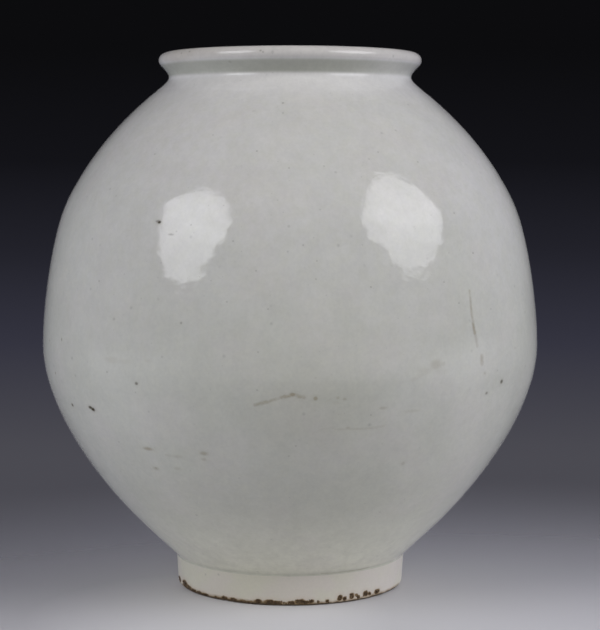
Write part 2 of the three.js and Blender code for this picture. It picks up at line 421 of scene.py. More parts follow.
# Grains of kiln sand on the foot; shares are of a stain's size or a grain's radius
GRIT_DARK = colour(0.030, 0.015, 0.005)
GRIT_RUST = colour(0.098, 0.050, 0.014)
GRIT_PATCH = 1.5 * MM
GRIT_BUMP_SIZE = 0.5 * MM
GRIT_BUMP_DEPTH = 0.08 * MM
GRIT_ROUGHNESS = 0.85
GRIT_RADIUS = (0.15 * MM, 0.42 * MM)
GRIT_PER_STAIN = 9
GRIT_SCATTER = (-0.45, 0.45)
GRIT_LOWEST = 0.6
GRIT_LUMP_DEPTH = 0.5
GRIT_LUMP_SCALE = 1.3
GRIT_FINENESS = 2
GRIT_SEED = 21

# Floor: two painted pools of light and the reach of both, each a middle and the distances between which it
# fades
FLOOR_RADIUS = 0.8
FLOOR_SIDES = 96
FLOOR_ROUGHNESS = 0.9
FLOOR_PALE = colour(0.685, 0.675, 0.675)
FLOOR_LIGHT_POOLS = [
    (Vector((-0.03, -0.14, 0)), 0.03, 0.30),
    (Vector((0.09, -0.42, 0)), 0.15, 0.81),
]
FLOOR_REACH = (Vector((0.1, 0.15, 0)), 0.35, 0.65)

# Backdrop that the camera and the glaze see, by the sine of a direction's height: grey low, black above
BACKDROP = [
    (-1.0, colour(0.070, 0.069, 0.081)),
    (-0.16, colour(0.070, 0.069, 0.083)),
    (-0.10, colour(0.034, 0.034, 0.050)),
    (-0.05, colour(0.016, 0.016, 0.023)),
    (0.0, colour(0.0065, 0.0065, 0.0088)),
    (0.06, colour(0.0037, 0.0037, 0.0044)),
    (1.0, colour(0.0037, 0.0037, 0.0044)),
]
STOPS_OF_A_NEW_RAMP = 2

# Pale table at both sides of the jar, which the glaze mirrors: how far down and how far round it reaches
TABLE_GLOW = Vector((0.70, 0.71, 0.76))
TABLE_DROP = (0.0, -0.08)
TABLE_ROUND = (0.4, 0.0)

# Soft light from the room: the side that it comes from, and its colour
ROOM_LIGHT = [
    (Vector((1, 0, 0)), Vector((0.60, 0.63, 0.88))),
    (Vector((0, 1, 0)), Vector((0.26, 0.27, 0.31))),
    (Vector((0.45, -0.50, 0.74)), Vector((0.25, 0.25, 0.16))),
    (Vector((0, 0, 1)), Vector((0.03, 0.02, 0.14))),
    (Vector((0, 0, -1)), Vector((0.43, 0.41, 0.42))),
    (Vector((-0.76, -0.15, -0.63)), Vector((0.77, 0.82, 1.05))),
]

# Softboxes: corners are those of the cloth's reflection on the jar, by their pixel in the photograph
FACING_STEP = 6
SOFTBOX_SIDE = 1.7
SOFT_EDGE = 0.045
CLOTH_REACH = 0.85
CLOTH_MIDDLE = 1.12
CLOTH_EDGE = 0.82
CLOTH_FOLD = 0.35
CLOTH_FOLD_DETAIL = 3
CLOTH_FOLD_SHADE = (0.86, 1.14)
LAMP_WHITE = (0.965, 0.965, 1.0)
LEFT_POWER = 38.8
LEFT_LAMP = Vector((-1.395, -1.149, 1.308))
LEFT_AIM = Vector((-0.051, -0.137, 0.228))
LEFT_CORNERS = [
    (224, 240), (231, 222), (229, 206), (222, 196.5), (210, 190), (181, 194.5),
    (165.5, 202.5), (159.5, 245), (164, 274), (184, 284.5), (197.5, 281.5),
]
RIGHT_POWER = 36.2
RIGHT_LAMP = Vector((1.536, -0.910, 1.343))
RIGHT_AIM = Vector((0.064, -0.127, 0.237))
RIGHT_CORNERS = [
    (441.5, 213), (430, 199), (401, 177.5), (383, 174), (374, 177), (364, 199),
    (362, 221), (367.5, 236), (405, 274), (426, 268.5), (442, 242),
]


# Outlines of the frame's pieces

def half_section(node):
    """The node's outline in the half plane y = 0, x >= 0, counterclockwise, in rows of radius and height."""
    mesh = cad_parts[node].data
    links = {}
    for edge in mesh.edges:
        ends = [mesh.vertices[index].co for index in edge.vertices]
        if all(abs(end.y) < NEAR and end.x > -NEAR for end in ends):
            first, second = [(round(end.x, PLACE_DIGITS), round(end.z, PLACE_DIGITS)) for end in ends]
            if first != second:
                links.setdefault(first, set()).add(second)
                links.setdefault(second, set()).add(first)
    path = [min(links, key=lambda spot: (len(links[spot]), spot[1]))]
    onward = links[path[0]]
    while onward:
        path.append(min(onward))
        onward = links[path[-1]] - set(path)
    outline = np.array(path)
    radius, height = outline.T
    area = np.sum(radius * np.roll(height, -1) - np.roll(radius, -1) * height)
    return outline if area > 0 else outline[::-1]


def stretches(outline):
    """The outline cut at its corners into smooth runs; one that doesn't meet the axis is closed on itself."""
    closed = outline[:, 0].min() > NEAR
    before = outline - np.roll(outline, 1, axis=0)
    after = np.roll(outline, -1, axis=0) - outline
    bend = np.arctan2(after[:, 1], after[:, 0]) - np.arctan2(before[:, 1], before[:, 0])
    bend = np.abs((bend + math.pi) % TURN - math.pi)
    corners = [index for index in range(len(outline)) if bend[index] > CORNER_TURN]
    if closed:
        outline = np.roll(outline, -corners[0], axis=0)
        outline = np.vstack([outline, outline[:1]])
        corners = [index - corners[0] for index in corners] + [len(outline) - 1]
    cuts = sorted({0, *corners, len(outline) - 1})
    return [outline[start:end + 1] for start, end in zip(cuts, cuts[1:])]


def next_points(run):
    """The next point past each end of a run, on the piece whose outline carries it on, or none."""
    found = []
    for end, inner in ((run[0], run[1]), (run[-1], run[-2])):
        away = (end - inner) / np.linalg.norm(end - inner)
        onward = []
        for other in outlines.values():
            for index in np.flatnonzero(np.linalg.norm(other - end, axis=1) < MEET):
                for beside in (other[index - 1], other[(index + 1) % len(other)]):
                    step = beside - end
                    if np.dot(step, away) > CARRY_ON * np.linalg.norm(step):
                        onward.append(beside)
        found.append(onward[:1])
    return found


def curve_slopes(points, spans):
    """Slopes at the points of the smoothest curve through them; each end follows its nearest three points."""
    rates = np.diff(points, axis=0) / spans[:, None]
    if len(rates) == 1:
        return np.vstack([rates, rates])
    system = np.eye(len(points))
    wanted = np.zeros_like(points)
    wanted[0] = rates[0] + (rates[0] - rates[1]) * spans[0] / (spans[0] + spans[1])
    wanted[-1] = rates[-1] + (rates[-1] - rates[-2]) * spans[-1] / (spans[-1] + spans[-2])
    for index in range(1, len(points) - 1):
        left, right = 1 / spans[index - 1], 1 / spans[index]
        system[index, index - 1:index + 2] = left, 2 * (left + right), right
        wanted[index] = 3 * (rates[index - 1] * left + rates[index] * right)
    return np.linalg.solve(system, wanted)


def smooth_run(points, step):
    """Points about one step apart on a smooth curve through the given points, smooth over joints too."""
    before, after = next_points(points)
    chain = np.array([*before, *points, *after])
    spans = np.linalg.norm(np.diff(chain, axis=0), axis=1)
    slopes = curve_slopes(chain, spans)[len(before):]
    spans = spans[len(before):len(before) + len(points) - 1]
    share = np.linspace(0, 1, CURVE_SAMPLES, endpoint=False)[:, None]
    rise = ease(share)
    leave = share * (1 - share) ** 2
    arrive = share ** 2 * (share - 1)
    parts = []
    for index, span in enumerate(spans):
        middle = points[index] * (1 - rise) + points[index + 1] * rise
        parts.append(middle + span * (leave * slopes[index] + arrive * slopes[index + 1]))
    dense = np.vstack([*parts, points[-1:]])
    along = travelled(dense)
    count = max(1, math.ceil(along[-1] / step))
    stops = np.linspace(0, along[-1], count + 1)
    return np.stack([np.interp(stops, along, column) for column in dense.T], axis=1)


def travelled(points):
    """The way gone along a run of points, at each of them."""
    return np.concatenate([[0], np.cumsum(np.linalg.norm(np.diff(points, axis=0), axis=1))])


outlines = {node: half_section(node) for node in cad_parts}


# Uneven surfaces

def ease(value):
    """A soft step from 0 to 1."""
    share = np.clip(value, 0, 1)
    return share ** 2 * (3 - 2 * share)


def bell(distance, spread):
    """A soft hump, 1 high."""
    return np.exp(-(distance / spread) ** 2)


def waves(angle, height, turns, climb, seed):
    """An uneven pattern about 1 deep: waves that close round the jar and lean as they climb."""
    draw = np.random.default_rng(seed)
    total = 0.0
    for _ in range(WAVE_COUNT):
        around = draw.integers(*turns)
        upward = draw.choice((-1, 1)) * TURN / draw.uniform(*climb)
        total = total + np.sin(around * angle + upward * height + draw.uniform(0, TURN))
    return total / math.sqrt(WAVE_COUNT)


def thrown(angle, radius, height):
    """How far the wall stands off its true circle, from the hand, the joints and the kiln."""
    lumps = LUMP_DEPTH * waves(angle, height, LUMP_TURNS, LUMP_CLIMB, LUMP_SEED)
    ripples = RIPPLE_DEPTH * waves(angle, height, RIPPLE_TURNS, RIPPLE_CLIMB, RIPPLE_SEED)
    rings = THROWING_RING_DEPTH * np.sin(TURN * height / THROWING_RING_CLIMB + angle)
    flattened = -OUT_OF_ROUND * np.sin(angle) ** 2 * ease(height / seam_height)
    seam = SEAM_RIDGE * bell(height - seam_height + SEAM_RIDGE_DROP, SEAM_SPREAD)
    groove = -NECK_GROOVE * bell(height - neck_height, NECK_SPREAD)
    return (lumps + ripples + rings + flattened + seam + groove - SHRINK) * ease(radius / SWAY_RADIUS)


def foot_wear(angle, height):
    """Turning lines round the foot, and chips out of its lower edge."""
    lines = FOOT_LINE_DEPTH * np.sin(TURN * height / FOOT_LINE_CLIMB + FOOT_LINE_STARTS * angle)
    uneven = waves(angle, height, FOOT_CHIP_TURNS, FOOT_CHIP_CLIMB, FOOT_CHIP_SEED)
    broken = np.maximum(uneven - FOOT_CHIP_START, 0)
    return lines - FOOT_CHIP_DEPTH * broken * bell(height, FOOT_CHIP_SPREAD)


# Turned pieces

def ring_outline(node, step):
    """The node's smooth outline, the way each point faces, and how freely it takes throwing rings, 0 to 1."""
    rows = []
    for run in stretches(outlines[node]):
        fine = smooth_run(run, step)
        along = travelled(fine)
        way = np.gradient(fine, axis=0)
        way /= np.linalg.norm(way, axis=1)[:, None]
        inside = fine[-1, 1] - fine[0, 1] < -INNER_RING_FADE
        from_end = np.minimum(along, along[-1] - along)
        free = ease(from_end / INNER_RING_FADE) * inside
        run_rows = np.column_stack([fine, way[:, 1], -way[:, 0], free])
        rows.append(run_rows[:-1])
    if outlines[node][:, 0].min() < NEAR:
        rows.append(run_rows[-1:])
    return np.vstack(rows)


def mesh_piece(name, places, faces):
    """A smooth piece of the given places and faces, linked to the scene."""
    mesh = bpy.data.meshes.new(name)
    mesh.from_pydata(places, [], faces)
    mesh.shade_smooth()
    piece = bpy.data.objects.new(name, mesh)
    bpy.context.scene.collection.objects.link(piece)
    return piece


def turned(name, node, step, sides, wear=None):
    """A closed mesh of a node's outline, moved a little off true and turned about the axis."""
    rows = ring_outline(node, step)
    angle = np.arange(sides) * TURN / sides
    radius, height, face_out, face_up, free = [column[:, None] for column in rows.T]
    inner_ring = INNER_RING_DEPTH * free * np.sin(TURN * height / INNER_RING_CLIMB - angle)
    out = radius + thrown(angle, radius, height) + inner_ring * face_out
    if wear is not None:
        out = out + wear(angle, height)
    out = np.clip(out, 0, belly_radius)
    up = height + inner_ring * face_up
    grid = np.stack([out * np.cos(angle), out * np.sin(angle), up], axis=-1)
    on_axis = rows[:, 0] < NEAR
    places, first = [], []
    for ring, alone in zip(grid, on_axis):
        first.append(len(places))
        places.extend(map(tuple, ring[:1] if alone else ring))
    faces = []
    count = len(rows)
    for low in range(count if not on_axis.any() else count - 1):
        high = (low + 1) % count
        for side in range(sides):
            beside = (side + 1) % sides
            corners = [
                first[low] + (0 if on_axis[low] else side),
                first[low] + (0 if on_axis[low] else beside),
                first[high] + (0 if on_axis[high] else beside),
                first[high] + (0 if on_axis[high] else side),
            ]
            faces.append(tuple(dict.fromkeys(corners)))
    piece = mesh_piece(name, places, faces)
    piece.data.set_sharp_from_angle(angle=SHARP_ANGLE)
    return piece


def dress(piece, material, slot=None, *nodes):
    """Gives a piece its material and its body, and hides the nodes that it stands for."""
    piece.data.materials.append(material)
    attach(piece, "root")
    if nodes:
        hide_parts(*nodes)


# Camera

view_way = (CAMERA_AIM - CAMERA_PLACE).normalized()
view_right = view_way.cross(Vector((0, 0, 1))).normalized()
view_up = view_right.cross(view_way)


def make_camera():
    data = bpy.data.cameras.new("camera")
    data.sensor_width = SENSOR_WIDTH
    data.lens = FOCAL_PIXELS * SENSOR_WIDTH / PHOTO_HEIGHT
    data.shift_x = (PHOTO_WIDTH / 2 - JAR_AXIS_PIXEL) / PHOTO_HEIGHT
    camera = bpy.data.objects.new("camera", data)
    camera.location = CAMERA_PLACE
    camera.rotation_euler = view_way.to_track_quat("-Z", "Y").to_euler()
    bpy.context.scene.collection.objects.link(camera)
    bpy.context.scene.camera = camera


# Where a pixel of the photograph, or an angle and height on the foot, lies on the jar

def surface_of(pieces):
    """A search tree over the pieces' surfaces."""
    places, faces = [], []
    for piece in pieces:
        start = len(places)
        places.extend(vertex.co.copy() for vertex in piece.data.vertices)
        faces.extend([start + index for index in face.vertices] for face in piece.data.polygons)
    return BVHTree.FromPolygons(places, faces)


def on_jar(surface, pixel_x, pixel_y):
    """The place on the jar that a pixel of the photograph shows."""
    across = view_right * (pixel_x - JAR_AXIS_PIXEL)
    upward = view_up * (PHOTO_HEIGHT / 2 - pixel_y)
    return surface.ray_cast(CAMERA_PLACE, view_way * FOCAL_PIXELS + across + upward)[0]


def facing(surface, pixel_x, pixel_y):
    """The way that the jar faces at a pixel, from the places that show around it."""
    left, right = [on_jar(surface, pixel_x + step, pixel_y) for step in (-FACING_STEP, FACING_STEP)]
    above, below = [on_jar(surface, pixel_x, pixel_y + step) for step in (-FACING_STEP, FACING_STEP)]
    return (right - left).cross(above - below)


def on_cloth(surface, pixel, lamp, turn):
    """The place on a lamp's plane that the jar mirrors at a pixel, across and up as the lamp faces."""
    spot = on_jar(surface, *pixel)
    start = turn.inverted() @ (spot - lamp)
    way = turn.inverted() @ (spot - CAMERA_PLACE).reflect(facing(surface, *pixel))
    return start - way * start.z / way.z


def on_foot(surface, degrees, height):
    """The place on the foot's outside at an angle from the front, and at a height."""
    angle = FRONT + math.radians(degrees)
    inward = Vector((-math.cos(angle), -math.sin(angle), 0))
    return surface.ray_cast(Vector((0, 0, height)) - inward * belly_radius, inward)[0]


def jar_spots(surface, rows):
    """Places, widths, heights and strengths of marks that are listed by pixel."""
    return [
        (on_jar(surface, x, y), width * MM, height * MM, strength)
        for x, y, width, height, strength in rows
    ]


def jar_lines(surface, rows):
    """Ends, widths and strengths of lines that are listed by pixel."""
    return [
        (on_jar(surface, x, y), on_jar(surface, end_x, end_y), width * MM, strength)
        for x, y, end_x, end_y, width, strength in rows
    ]


def foot_spots(surface, rows):
    """Places, widths, heights and strengths of marks that are listed by angle."""
    return [
        (on_foot(surface, degrees, up * MM), width * MM, tall * MM, strength)
        for degrees, up, width, tall, strength in rows
    ]


# Shader building

class Nodes:
    """Short calls that add nodes to a tree."""

    def __init__(self, tree):
        self.tree = tree

    def feed(self, socket, value):
        """Sets a socket to a value, or links another node's output to it."""
        if isinstance(value, bpy.types.NodeSocket):
            self.tree.links.new(value, socket)
        else:
            socket.default_value = value

    def add(self, kind, settings=None, **inputs):
        node = self.tree.nodes.new("ShaderNode" + kind)
        for key, value in (settings or {}).items():
            setattr(node, key, value)
        for name, value in inputs.items():
            self.feed(node.inputs[name.replace("_", " ")], value)
        return node

    def math(self, operation, *values):
        node = self.add("Math", {"operation": operation})
        for socket, value in zip(node.inputs, values):
            self.feed(socket, value)
        return node.outputs[0]

    def vector(self, operation, *values, output="Vector"):
        node = self.add("VectorMath", {"operation": operation})
        for socket, value in zip(node.inputs, values):
            self.feed(socket, value)
        return node.outputs[output]

    def scaled(self, vector, factor):
        return self.add("VectorMath", {"operation": "SCALE"}, Vector=vector, Scale=factor).outputs["Vector"]

    def ramp(self, value, low, high, from_value=0.0, to_value=1.0):
        """A soft step: from_value up to low, to_value from high on."""
        node = self.add(
            "MapRange", {"interpolation_type": "SMOOTHSTEP"}, Value=value,
            From_Min=low, From_Max=high, To_Min=from_value, To_Max=to_value,
        )
        return node.outputs["Result"]

    def blend(self, first, second, share):
        """A colour that goes from the first to the second."""
        node = self.add("Mix", {"data_type": "RGBA"})
        self.feed(node.inputs["Factor"], share)
        colours = [socket for socket in node.inputs if socket.type == "RGBA"]
        self.feed(colours[0], first)
        self.feed(colours[1], second)
        return [socket for socket in node.outputs if socket.type == "RGBA"][0]


class Shader(Nodes):
    """A material under construction."""

    def __init__(self, name):
        self.material = bpy.data.materials.new(name)
        self.material.use_nodes = True
        super().__init__(self.material.node_tree)
        self.surface = self.tree.nodes["Principled BSDF"]
        self.place = self.add("TexCoord").outputs["Object"]
        self.side, _, self.height = self.add("SeparateXYZ", Vector=self.place).outputs

    def radius(self):
        """The distance from the jar's axis."""
        flat = self.vector("MULTIPLY", self.place, Vector((1, 1, 0)))
        return self.vector("LENGTH", flat, output="Value")

    def fading(self, middle, near, far):
        """A soft step by the distance from a middle."""
        return self.ramp(self.vector("DISTANCE", self.place, middle, output="Value"), near, far)

    def noise(self, size, detail=2.0, roughness=0.5, output="Fac"):
        node = self.add(
            "TexNoise", Vector=self.place,
            Scale=1 / size, Detail=detail, Roughness=roughness,
        )
        return node.outputs[output]

    def drift(self, size, low, high, span=NOISE_SPAN, **fineness):
        """A value that drifts from low to high, in patches of about a size."""
        return self.ramp(self.noise(size, **fineness), *span, low, high)

    def ragged(self, size, reach):
        """The place, moved about unevenly, so that what is drawn there has ragged edges."""
        shift = self.vector("SUBTRACT", self.noise(size, output="Color"), NOISE_MIDDLE)
        return self.vector("ADD", self.place, self.scaled(shift, 2 * reach))

    def scatter(self, spacing, radius, share):
        """Soft spots of many sizes up to a radius, in a share of the places about a spacing apart."""
        cells = self.add("TexVoronoi", Vector=self.place, Scale=1 / spacing)
        draws = self.add("SeparateColor", Color=cells.outputs["Color"]).outputs
        largest = radius / spacing
        smallest = SPOT_SMALLEST * largest
        reach = self.math("MULTIPLY_ADD", draws["Green"], largest - smallest, smallest)
        near = self.ramp(cells.outputs["Distance"], 0.0, reach, 1.0, 0.0)
        return self.math("MULTIPLY", near, self.ramp(draws["Red"], 1 - share, 1.0))

    def marks(self, place, spots):
        """How strongly spots and the halos round them show; a spot is a place, width, height and strength."""
        core, halo = 0.0, 0.0
        for centre, width, height, strength in spots:
            reach = Vector((2 / width, 2 / width, 2 / height))
            apart = self.vector("MULTIPLY_ADD", place, reach, -centre * reach)
            distance = self.vector("LENGTH", apart, output="Value")
            core = self.math("MAXIMUM", core, self.ramp(distance, *MARK_CORE_FADE, strength, 0.0))
            halo = self.math("MAXIMUM", halo, self.ramp(distance, *MARK_HALO_FADE, strength, 0.0))
        return core, halo

    def strokes(self, place, lines):
        """How strongly thin straight lines show; a line is its two ends, a width and a strength."""
        total = 0.0
        for start, end, width, strength in lines:
            length = end - start
            apart = self.vector("SUBTRACT", place, start)
            along = self.vector("DOT_PRODUCT", apart, length / length.length_squared, output="Value")
            share = self.math("MINIMUM", self.math("MAXIMUM", along, 0.0), 1.0)
            aside = self.vector("DISTANCE", apart, self.scaled(length, share), output="Value")
            near, far = [fade * width for fade in STROKE_FADE]
            total = self.math("MAXIMUM", total, self.ramp(aside, near, far, strength, 0.0))
        return total

    def bump(self, height, distance, normal=None):
        node = self.add("Bump", Height=height, Distance=distance)
        if normal is not None:
            self.feed(node.inputs["Normal"], normal)
        return node.outputs["Normal"]

    def finish(self, **inputs):
        """Sets the surface's own sockets and gives the material."""
        for name, value in inputs.items():
            self.feed(self.surface.inputs[name.replace("_", " ")], value)
        return self.material


# Glaze

def glaze_bands(shader):
    """The glaze's colour from foot to lip, with painted light on the collar and partly in the cream near the
    foot, pooled glaze and painted shade in the crease over the foot, and painted shade in the cove.
    """
    downward = shader.ramp(shader.height, neck_height, GREEN_FULL, *GREEN_SHARE)
    greener = shader.math("ADD", downward, shader.drift(**GREEN_DRIFT))
    base = shader.blend(GLAZE_PALE, GLAZE_GREEN, greener)
    # Cream glaze near the foot, brightened as painted floor-bounce light
    cream_and_bounce = shader.ramp(shader.height, foot_top + CREAM_AND_BOUNCE_RISE, foot_top, 0.0, CREAM_AND_BOUNCE_SHARE)
    base = shader.blend(base, GLAZE_CREAM_AND_BOUNCE_LIGHT, cream_and_bounce)
    base = shader.blend(base, GLAZE_WARM, shader.drift(**WARM_DRIFT))
    base = shader.blend(base, GLAZE_OLIVE, shader.drift(**OLIVE_DABS))
    # Painted light: the collar below the cove made lighter, where the top of the shoulder catches the light
    base = shader.blend(base, GLAZE_COLLAR_LIGHT, shader.ramp(shader.height, *COLLAR_LIGHT_BAND, 0.0, COLLAR_LIGHT_SHARE))
    lip = shader.ramp(shader.height, COVE_TOP, COVE_TOP + COVE_EDGE, 0.0, LIP_SHARE)
    base = shader.blend(base, LIP_BLUSH, lip)
    # Pooled glaze and painted shade in the crease just above the foot
    foot_pool_and_shade = shader.ramp(shader.height, foot_top, foot_top + POOL_AND_SHADE_DEPTH, FOOT_POOL_AND_SHADE_SHARE, 0.0)
    # Painted shade under the lip in the cove, deeper in the middle than on the right, where more light falls
    above = shader.ramp(shader.height, COVE_BOTTOM - COVE_EDGE, COVE_BOTTOM + COVE_EDGE)
    deep = shader.ramp(shader.side, *COVE_RIGHTWARD, *COVE_SHADE_SHARE)
    below = shader.ramp(shader.height, COVE_TOP - COVE_EDGE, COVE_TOP + COVE_EDGE, deep, 0.0)
    outside = shader.ramp(shader.radius(), COVE_RADIUS - COVE_EDGE, COVE_RADIUS + COVE_EDGE)
    cove_shade = shader.math("MULTIPLY", shader.math("MULTIPLY", above, below), outside)
    return shader.blend(base, GLAZE_POOL_AND_SHADE, shader.math("MAXIMUM", foot_pool_and_shade, cove_shade))


def seam_shade(shader):
    """A faint darkening that starts at a wavy line by the belly seam and fades upwards."""
    wave = shader.noise(SEAM_WAVE_SIZE, detail=3)
    wavy = shader.math("MULTIPLY_ADD", wave, SEAM_WAVE_DEPTH, shader.height)
    shade = shader.ramp(wavy, SEAM_SHADE_FOOT, SEAM_SHADE_FOOT + SEAM_SHADE_RISE, SEAM_SHADE, 1.0)
    edge = (SEAM_SHADE_FOOT - SEAM_SHADE_EDGE, SEAM_SHADE_FOOT + SEAM_SHADE_EDGE)
    return shader.ramp(wavy, *edge, 1.0, shade)


def glaze_material(surface):
    shader = Shader("white_glaze")
    base = glaze_bands(shader)
    tones = [shader.drift(**pattern) for pattern in (GLAZE_CLOUD, GLAZE_MOTTLE, GLAZE_GRAIN)]
    for tone in (*tones, seam_shade(shader)):
        base = shader.scaled(base, tone)
    pinholes = shader.scatter(**PINHOLES)
    dots = shader.math("MAXIMUM", pinholes, shader.scatter(**FINE_SPECKS))
    base = shader.blend(base, SPECK_GREY, shader.math("MULTIPLY", dots, DOT_SHARE))
    uneven = shader.ragged(**MARK_RAGGED)
    # Stains, with painted shade on the lip's left end
    stains, smear = shader.marks(uneven, jar_spots(surface, RUBBED_STAINS_AND_SHADE))
    irons, halo = shader.marks(uneven, jar_spots(surface, IRON_SPECKS))
    lines = shader.strokes(uneven, jar_lines(surface, RUBBED_LINES))
    worn = shader.math("MULTIPLY", lines, shader.drift(**RUBBED_AWAY))
    around = shader.math("MULTIPLY", shader.math("MAXIMUM", smear, halo), MARK_HALO_SHARE)
    base = shader.blend(base, HALO_OLIVE, around)
    base = shader.blend(base, STAIN_AND_SHADE_OLIVE, shader.math("MAXIMUM", stains, worn))
    base = shader.blend(base, SPECK_BROWN, irons)
    normal = shader.bump(shader.noise(PEEL_SIZE, detail=1), PEEL_DEPTH)
    normal = shader.bump(shader.math("MULTIPLY", pinholes, -1.0), PINHOLE_DEPTH, normal)
    gloss = shader.drift(**GLAZE_GLOSS)
    return shader.finish(Base_Color=base, Roughness=gloss, Normal=normal, IOR=GLASS_IOR)


# Foot, and the kiln stains and grit on it

def foot_stains(surface):
    """The stains in front as seen, and others like them behind, by angle from the front and height."""
    draw = np.random.default_rng(BACK_STAIN_SEED)
    rows = []
    for x, y, *size_and_strength in FOOT_STAINS:
        place = on_jar(surface, x, y)
        degrees = math.degrees(math.atan2(place.x, -place.y))
        rows.append((degrees, place.z / MM, *size_and_strength))
    for degrees in np.linspace(*BACK_STAIN_REACH, BACK_STAINS):
        width = draw.uniform(*BACK_STAIN_WIDTH)
        stray = draw.uniform(*BACK_STAIN_STRAY)
        height = draw.uniform(*BACK_STAIN_HEIGHT)
        tall = draw.uniform(*BACK_STAIN_TALL)
        rows.append((degrees + stray, height, width, tall, BACK_STAIN_STRENGTH))
    return rows


def line_stretch(shader):
    """How far the dark line of kiln stain and painted contact shadow reaches: in front and behind, on the
    outer part of the foot.
    """
    angle = FRONT + math.radians(LINE_MIDDLE)
    way = Vector((math.cos(angle), math.sin(angle), 0)) / foot_radius
    toward = shader.math("ABSOLUTE", shader.vector("DOT_PRODUCT", shader.place, way, output="Value"))
    stretch = shader.ramp(toward, *[math.cos(math.radians(reach)) for reach in LINE_REACH])
    return shader.math("MULTIPLY", stretch, shader.ramp(shader.radius(), *LINE_INWARD))


def foot_material(surface, stains):
    shader = Shader("foot_glaze")
    rightward = shader.ramp(shader.side, -foot_radius, foot_radius, *WARM_SHARE)
    warmer = shader.math("ADD", rightward, shader.drift(**WARM_PATCHES))
    base = shader.blend(FOOT_CREAM, FOOT_WARM, warmer)
    base = shader.blend(base, FOOT_CLAY, shader.ramp(shader.height, *BARE_RISE, BARE_SHARE, 0.0))
    base = shader.scaled(base, shader.drift(**FOOT_GRAIN))
    specks, _ = shader.marks(shader.place, jar_spots(surface, FOOT_SPECKS))
    base = shader.blend(base, SPECK_GREY, specks)
    core, halo = shader.marks(shader.ragged(**STAIN_RAGGED), foot_spots(surface, stains))
    base = shader.blend(base, FOOT_BLUSH, shader.math("MULTIPLY", halo, BLUSH_SHARE))
    base = shader.blend(base, FOOT_OCHRE, shader.ramp(core, *OCHRE_CORE))
    # The line stands higher on the left
    lift = shader.ramp(shader.side, 0.0, -LINE_LIFT_REACH, 0.0, LINE_LIFT)
    lowered = shader.math("SUBTRACT", shader.height, lift)
    wave = shader.noise(LINE_WAVE_SIZE, detail=3)
    uneven_height = shader.math("MULTIPLY_ADD", wave, LINE_WAVE_DEPTH, lowered)
    stretch = line_stretch(shader)
    fringe = shader.ramp(uneven_height, *LINE_FRINGE, FRINGE_SHARE, 0.0)
    base = shader.blend(base, FOOT_OCHRE, shader.math("MULTIPLY", stretch, fringe))
    # Dark line of kiln stain and painted contact shadow along the lower edge
    line = shader.ramp(uneven_height, *LINE_HEIGHT, 1.0, 0.0)
    base = shader.blend(base, FOOT_LINE_AND_SHADOW, shader.math("MULTIPLY", stretch, line))
    dark = shader.math("MULTIPLY", shader.ramp(core, *DARK_CORE), shader.drift(**STAIN_BROKEN))
    base = shader.blend(base, FOOT_DARK, dark)
    gloss = shader.drift(**FOOT_GLOSS)
    normal = shader.bump(shader.noise(FOOT_BUMP_SIZE, detail=3), FOOT_BUMP_DEPTH)
    return shader.finish(Base_Color=base, Roughness=gloss, Normal=normal, IOR=GLASS_IOR)


def grit_material():
    shader = Shader("kiln_grit")
    base = shader.blend(GRIT_DARK, GRIT_RUST, shader.noise(GRIT_PATCH, detail=3))
    normal = shader.bump(shader.noise(GRIT_BUMP_SIZE, detail=3), GRIT_BUMP_DEPTH)
    return shader.finish(Base_Color=base, Roughness=GRIT_ROUGHNESS, Normal=normal)


def kiln_grit(surface, stains):
    """Grains of kiln sand that are fused to the foot where it is stained."""
    draw = np.random.default_rng(GRIT_SEED)
    pebble = bmesh.new()
    bmesh.ops.create_icosphere(pebble, subdivisions=GRIT_FINENESS, radius=1)
    corners = [vertex.co.copy() for vertex in pebble.verts]
    sides = [[vertex.index for vertex in face.verts] for face in pebble.faces]
    pebble.free()
    places, faces = [], []
    for degrees, up, width, tall, strength in stains:
        for _ in range(round(GRIT_PER_STAIN * strength)):
            size = draw.uniform(*GRIT_RADIUS)
            aside = math.degrees(draw.uniform(*GRIT_SCATTER) * width * MM / foot_radius)
            height = max(size * GRIT_LOWEST, (up + draw.uniform(*GRIT_SCATTER) * tall) * MM)
            middle = on_foot(surface, degrees + aside, height)
            faces.extend([len(places) + index for index in side] for side in sides)
            for corner in corners:
                lump = noise.noise(corner * GRIT_LUMP_SCALE + middle / MM)
                place = middle + corner * size * (1 + GRIT_LUMP_DEPTH * lump)
                places.append((place.x, place.y, max(place.z, 0)))
    return mesh_piece("kiln_grit", places, faces)


# Floor, backdrop and lamps

def floor():
    """A pale floor whose painted pools of light fade out into the backdrop."""
    shape = bmesh.new()
    bmesh.ops.create_circle(shape, cap_ends=True, segments=FLOOR_SIDES, radius=FLOOR_RADIUS)
    mesh = bpy.data.meshes.new("floor")
    shape.to_mesh(mesh)
    shape.free()
    piece = bpy.data.objects.new("floor", mesh)
    bpy.context.scene.collection.objects.link(piece)
    shader = Shader("floor_paper")
    faded = shader.math("MINIMUM", *[shader.fading(*pool) for pool in FLOOR_LIGHT_POOLS])
    faded = shader.math("MAXIMUM", faded, shader.fading(*FLOOR_REACH))
    clear = shader.add("BsdfTransparent")
    fade = shader.add("MixShader", Fac=faded)
    shader.feed(fade.inputs[1], shader.surface.outputs["BSDF"])
    shader.feed(fade.inputs[2], clear.outputs["BSDF"])
    shader.feed(shader.tree.nodes["Material Output"].inputs["Surface"], fade.outputs["Shader"])
    mesh.materials.append(shader.finish(Base_Color=FLOOR_PALE, Roughness=FLOOR_ROUGHNESS))


